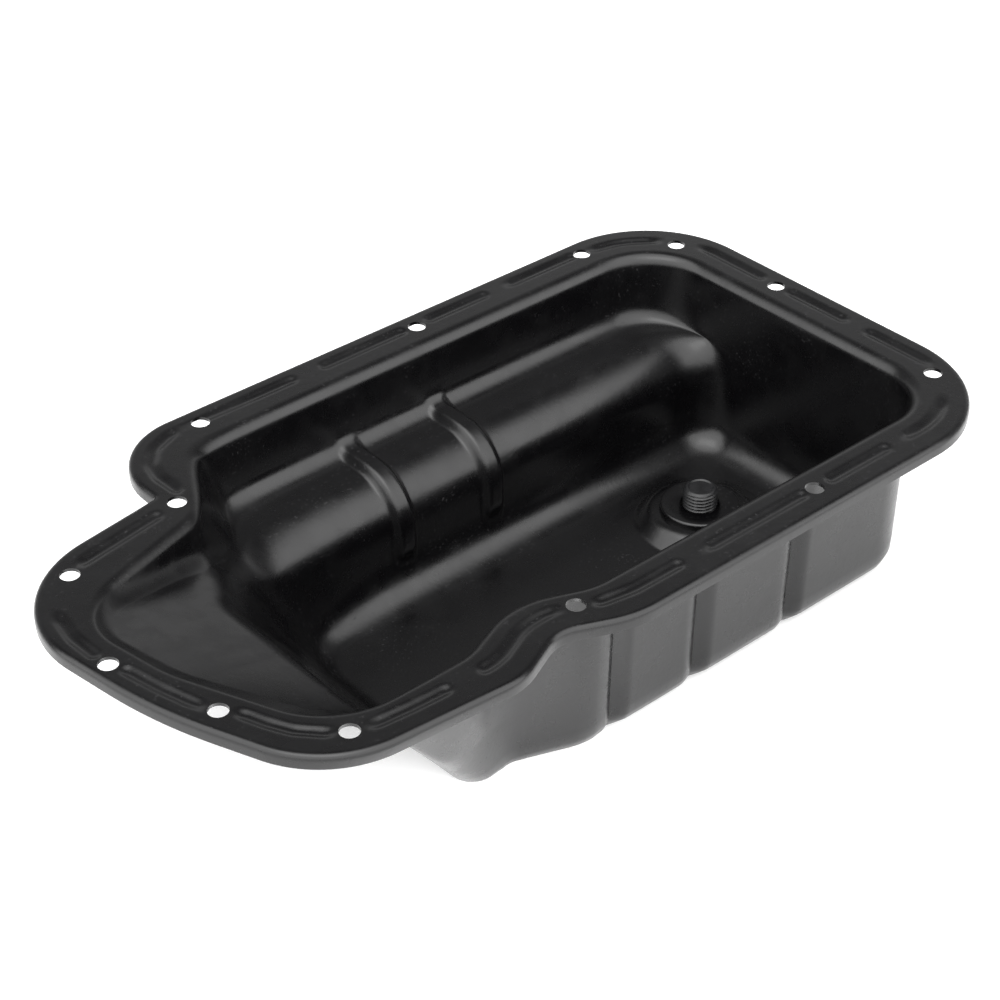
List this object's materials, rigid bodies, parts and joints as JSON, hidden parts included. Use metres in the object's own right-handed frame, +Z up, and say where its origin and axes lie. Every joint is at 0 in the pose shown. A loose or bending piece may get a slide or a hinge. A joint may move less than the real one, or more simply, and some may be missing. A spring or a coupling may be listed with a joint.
{
  "type": "engine oil pan",
  "caption": "Pressed steel engine oil pan with a bolt flange, a shallow lobe, a deep sump with a ribbed shelf, and a drain plug.",
  "frame": {"origin": "centre of the bounding box in plan, at the flat bottom of the sump", "axes": "+X along the pan towards the deep end, +Y towards the side with the shelf, +Z up out of the open pan"},
  "size_m": [0.3512, 0.1968, 0.0762],
  "materials": {
    "pan_paint": "semi-gloss black coating",
    "plug_steel": "satin black zinc",
    "washer_metal": "dull"
  },
  "bodies": {
    "root": {"pan_pressing": "pan_paint", "drain_boss": "pan_paint", "drain_plug": "plug_steel", "drain_plug_washer": "washer_metal"}
  },
  "joints": []
}
